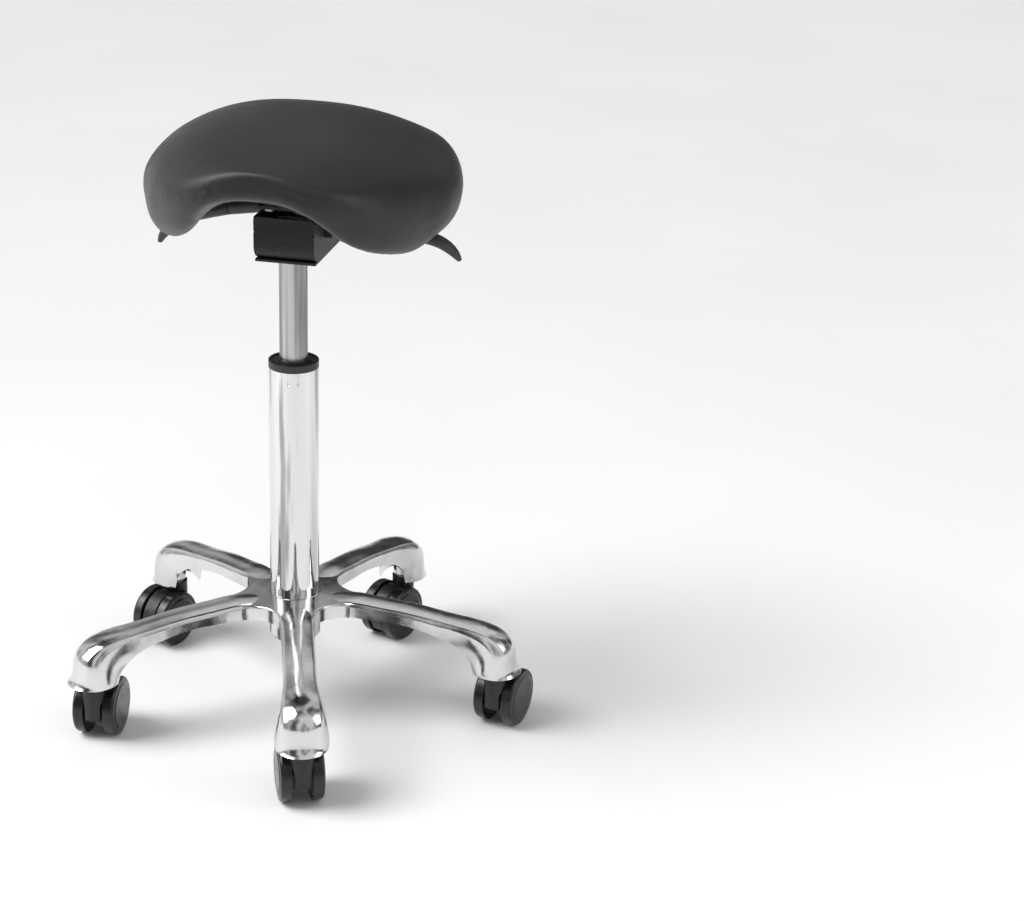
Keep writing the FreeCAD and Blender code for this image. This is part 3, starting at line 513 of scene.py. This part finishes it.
def apply_modifier(piece, modifier):
    with bpy.context.temp_override(object=piece, active_object=piece, selected_objects=[piece]):
        bpy.ops.object.modifier_apply(modifier=modifier.name)


def even_out(piece):
    """Even mesh over the form, eased most at the front, so that the corners of its roll blend."""
    remesh = piece.modifiers.new("even", "REMESH")
    remesh.mode = "VOXEL"
    remesh.voxel_size = VOXEL * MM
    remesh.use_smooth_shade = True
    apply_modifier(piece, remesh)
    ease_here = piece.vertex_groups.new(name="ease_here")
    for v in piece.data.vertices:
        forward = held((EASE_FROM_Y - v.co.y / MM) / EASE_OVER)
        ease_here.add([v.index], EASE_LEAST + (1.0 - EASE_LEAST) * forward, "REPLACE")
    ease = piece.modifiers.new("ease", "SMOOTH")
    ease.iterations = EASE_ROUNDS
    ease.factor = 0.5
    ease.vertex_group = ease_here.name
    apply_modifier(piece, ease)
    piece.vertex_groups.clear()


def fill_out(piece):
    """Blows the leather up against its foam, held close to where it was, most so on the shell's side."""
    start = [v.co.copy() for v in piece.data.vertices]
    shares = [SHELL_SIDE_SHARE if v.normal.z < SHELL_SIDE_BELOW else 1.0 for v in piece.data.vertices]
    limits = [LEATHER_PLAY * MM * share for share in shares]
    cloth = piece.modifiers.new("leather", "CLOTH")
    cloth.settings.quality = 6
    cloth.settings.mass = 0.6
    cloth.settings.tension_stiffness = 40.0
    cloth.settings.compression_stiffness = 40.0
    cloth.settings.shear_stiffness = 20.0
    cloth.settings.bending_stiffness = 6.0
    cloth.settings.use_pressure = True
    cloth.settings.uniform_pressure_force = 4.0
    cloth.settings.effector_weights.gravity = 0.0
    for f in range(1, CLOTH_FRAMES + 1):
        bpy.context.scene.frame_set(f)
    apply_modifier(piece, cloth)
    bpy.context.scene.frame_set(1)
    for v, was, limit in zip(piece.data.vertices, start, limits):
        step = v.co - was
        if step.length > limit:
            v.co = was + step * (limit / step.length)


def outline_tree():
    """The cushion's outline seen from above, with the length along it up to each of its points."""
    steps = 240
    front_steps = 20
    inset = 0.01
    front = [Vector((SEAT_FRONT_HALF_W * k / front_steps, SEAT_FRONT_Y, 0.0)) for k in range(front_steps)]
    flank = []
    for i in range(steps + 1):
        s = 0.5 * (1.0 - math.cos(math.pi * i / steps))
        y = SEAT_FRONT_Y + inset + (SEAT_LENGTH - 2 * inset) * s
        flank.append(Vector((saddle_at(y)[0], y, 0.0)))
    right = front + flank
    left = [Vector((-p.x, p.y, 0.0)) for p in right[1:]]
    loop = left[::-1] + right
    tree = kdtree.KDTree(len(loop))
    run = [0.0]
    for a, b in zip(loop, loop[1:]):
        run.append(run[-1] + (b - a).length)
    for i, p in enumerate(loop):
        tree.insert(p, i)
    tree.balance()
    return tree, run


def pull_leather(piece):
    """Lets the lobes hang, raises the front edge's bead and gathers the pleats underneath."""
    tree, run = outline_tree()
    vertices = piece.data.vertices
    normals = [v.normal.copy() for v in vertices]
    for v, n in zip(vertices, normals):
        p = v.co / MM
        aside = soft_step((abs(p.x) - LOBE_FROM_X) / LOBE_OVER_X)
        low = soft_step((LOBE_TOP_Z - p.z) / LOBE_FADE)
        lobe = aside * low * soft_step((LOBE_REAR_Y - p.y) / LOBE_FADE)
        v.co.z -= LOBE_HANG * MM * lobe
        v.co.x += (SIT_SHIFT - math.copysign(LOBE_TUCK, p.x) * lobe) * MM
        nearest, inward = tree.find(Vector((p.x, p.y, 0.0)))[1:]
        if n.z > BEAD_SIDE_ABOVE and p.y < BEAD_REAR_Y:
            ridge = math.exp(-((inward - BEAD_INWARD) / BEAD_WIDTH) ** 2)
            fade = max(0.0, 1.0 - (abs(p.x) / BEAD_HALF_W) ** 2)
            v.co += n * BEAD_HEIGHT * MM * ridge * fade
        if n.z < PLEAT_SIDE_BELOW:
            band = held((inward - PLEAT_INWARD) / PLEAT_OVER)
            along = run[nearest] / PLEAT_PITCH
            uneven = noise.noise(Vector((along * PLEAT_DRIFT, PLEAT_ROW, 0.0))) * PLEAT_WANDER
            fold = abs(math.sin(math.pi * (along + uneven)))
            v.co += n * PLEAT_DEPTH * MM * band * (PLEAT_MIDDLE - fold)


def leather():
    """Smooth-grained hide: tiny pebbled cells, broad soft tone changes and a faint waxy sheen."""
    finish = Finish("saddle_leather")
    finish.shader.inputs["Sheen Weight"].default_value = 0.05
    finish.shader.inputs["Sheen Roughness"].default_value = 0.45
    finish.shader.inputs["Specular IOR Level"].default_value = 0.45
    finish.lay("Base Color", finish.two_tones(finish.cloud(scale=9.0, detail=4.0), LEATHER_BLACK, LEATHER_GREY))
    finish.lay("Roughness", finish.spread(finish.cloud(scale=30.0, detail=6.0), low=0.4, high=0.52))
    wander = finish.nodes.new("ShaderNodeTexNoise")
    wander.inputs["Scale"].default_value = 160.0
    finish.links.new(finish.place, wander.inputs["Vector"])
    warp = finish.nodes.new("ShaderNodeVectorMath")
    warp.operation = "MULTIPLY_ADD"
    warp.inputs[1].default_value = (0.004, 0.004, 0.004)
    finish.links.new(wander.outputs["Color"], warp.inputs[0])
    finish.links.new(finish.place, warp.inputs[2])
    pebbles = finish.nodes.new("ShaderNodeTexVoronoi")
    pebbles.feature = "SMOOTH_F1"
    pebbles.inputs["Scale"].default_value = 820.0
    pebbles.inputs["Smoothness"].default_value = 0.6
    finish.links.new(warp.outputs["Vector"], pebbles.inputs["Vector"])
    soft = finish.relief(finish.cloud(scale=48.0), depth=0.0006, strength=0.35)
    finish.relief(pebbles.outputs["Distance"], depth=0.00012, strength=0.4, under=soft)
    return finish.material


cushion = saddle_mesh()
even_out(cushion)
fill_out(cushion)
smoother = cushion.modifiers.new("finer", "SUBSURF")
smoother.levels = 1
smoother.render_levels = 1
apply_modifier(cushion, smoother)
pull_leather(cushion)
cushion.data.polygons.foreach_set("use_smooth", [True] * len(cushion.data.polygons))
cushion.data.materials.append(leather())
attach(cushion, "seat")
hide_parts("seat_cover", "seat_foam")

# Floor. A pale, matt painted studio floor, flat and much wider than the picture. It is no part of
# the stool, which only stands on it.
FLOOR_HALF = 14.0
FLOOR_SHADE = (0.86, 0.86, 0.86, 1.0)
FLOOR_LIGHT = (0.9, 0.9, 0.9, 1.0)


def pale_floor():
    """Matt paint with very broad, faint changes of tone."""
    finish = Finish("pale_floor")
    finish.lay("Base Color", finish.two_tones(finish.cloud(scale=1.5), FLOOR_SHADE, FLOOR_LIGHT))
    finish.shader.inputs["Roughness"].default_value = 0.6
    finish.shader.inputs["Specular IOR Level"].default_value = 0.3
    return finish.material


floor_mesh = bpy.data.meshes.new("studio_floor")
corners = [(x * FLOOR_HALF, y * FLOOR_HALF, 0.0) for x, y in ((-1, -1), (1, -1), (1, 1), (-1, 1))]
floor_mesh.from_pydata(corners, [], [(0, 1, 2, 3)])
floor_mesh.materials.append(pale_floor())
floor = bpy.data.objects.new("studio_floor", floor_mesh)
bpy.context.collection.objects.link(floor)

# Studio light. A bright grey surround with soft wide bands, a broad soft sun from high on the left
# that whitens the floor, and two large lamps that fill the leather's left side and the right.
WALL_DARK = (0.05, 0.05, 0.052, 1.0)
WALL_LIGHT = (0.74, 0.74, 0.74, 1.0)
BAND_FLATTENING = (1.0, 1.0, 0.3)
SUN_AIM = Vector((0.62, 0.3, -1.0))

world = bpy.data.worlds.new("studio")
bpy.context.scene.world = world
world.use_nodes = True
surround = world.node_tree.nodes
wires = world.node_tree.links
sky_place = surround.new("ShaderNodeTexCoord").outputs["Generated"]
flat_place = surround.new("ShaderNodeMapping")
flat_place.inputs["Scale"].default_value = BAND_FLATTENING
wires.new(sky_place, flat_place.inputs["Vector"])
bands = surround.new("ShaderNodeTexNoise")
bands.inputs["Scale"].default_value = 2.2
bands.inputs["Detail"].default_value = 1.0
wires.new(flat_place.outputs["Vector"], bands.inputs["Vector"])
wall = surround.new("ShaderNodeValToRGB")
wall.color_ramp.elements[0].position = 0.4
wall.color_ramp.elements[0].color = WALL_DARK
wall.color_ramp.elements[1].position = 0.6
wall.color_ramp.elements[1].color = WALL_LIGHT
wires.new(bands.outputs["Fac"], wall.inputs["Fac"])
sky = surround["Background"]
wires.new(wall.outputs["Color"], sky.inputs["Color"])
sky.inputs["Strength"].default_value = 1.0

bpy.context.scene.view_settings.view_transform = "Standard"

sun = bpy.data.lights.new("sun_left", "SUN")
sun.energy = 2.1
sun.angle = math.radians(34.0)
sun_holder = bpy.data.objects.new("sun_left", sun)
sun_holder.rotation_euler = SUN_AIM.to_track_quat("-Z", "Y").to_euler()
bpy.context.collection.objects.link(sun_holder)


def soft_lamp(name, place, aim, width, height, power):
    """Large lamp at a place, turned to a point that it lights; power in watts."""
    data = bpy.data.lights.new(name, "AREA")
    data.shape = "RECTANGLE"
    data.size = width
    data.size_y = height
    data.energy = power
    lamp = bpy.data.objects.new(name, data)
    lamp.location = place
    lamp.rotation_euler = (Vector(aim) - Vector(place)).to_track_quat("-Z", "Y").to_euler()
    bpy.context.collection.objects.link(lamp)


soft_lamp("lamp_left", place=(-1.7, -0.9, 1.5), aim=(0.0, 0.0, 0.5), width=1.2, height=1.4, power=21.0)
soft_lamp("lamp_right", place=(1.9, -0.2, 1.1), aim=(0.0, 0.0, 0.45), width=0.7, height=1.3, power=6.0)

# Camera. Set where the photographer stood, a little above seat height and looking down, slightly
# from the right of the saddle's front.
FRAME_W = 1024.0
CAMERA_FOCUS = 2262.7
CAMERA_PLACE = Vector((0.5986, -2.0337, 1.1325))
CAMERA_TURN = math.radians(10.472)
CAMERA_DIP = math.radians(21.963)
CAMERA_ROLL = math.radians(1.927)

level = Vector((math.cos(CAMERA_TURN), math.sin(CAMERA_TURN), 0.0))
ahead = Vector((-math.sin(CAMERA_TURN), math.cos(CAMERA_TURN), 0.0))
sight = ahead * math.cos(CAMERA_DIP) - Vector((0.0, 0.0, math.sin(CAMERA_DIP)))
rise = level.cross(sight)
right_hand = level * math.cos(CAMERA_ROLL) + rise * math.sin(CAMERA_ROLL)
upward = rise * math.cos(CAMERA_ROLL) - level * math.sin(CAMERA_ROLL)
lens = bpy.data.cameras.new("photo_camera")
lens.sensor_width = 36.0
lens.lens = CAMERA_FOCUS / FRAME_W * lens.sensor_width
lens.clip_end = 60.0
camera = bpy.data.objects.new("photo_camera", lens)
turn = Matrix((right_hand, upward, -sight)).transposed().to_4x4()
camera.matrix_world = Matrix.Translation(CAMERA_PLACE) @ turn
bpy.context.collection.objects.link(camera)
bpy.context.scene.camera = camera
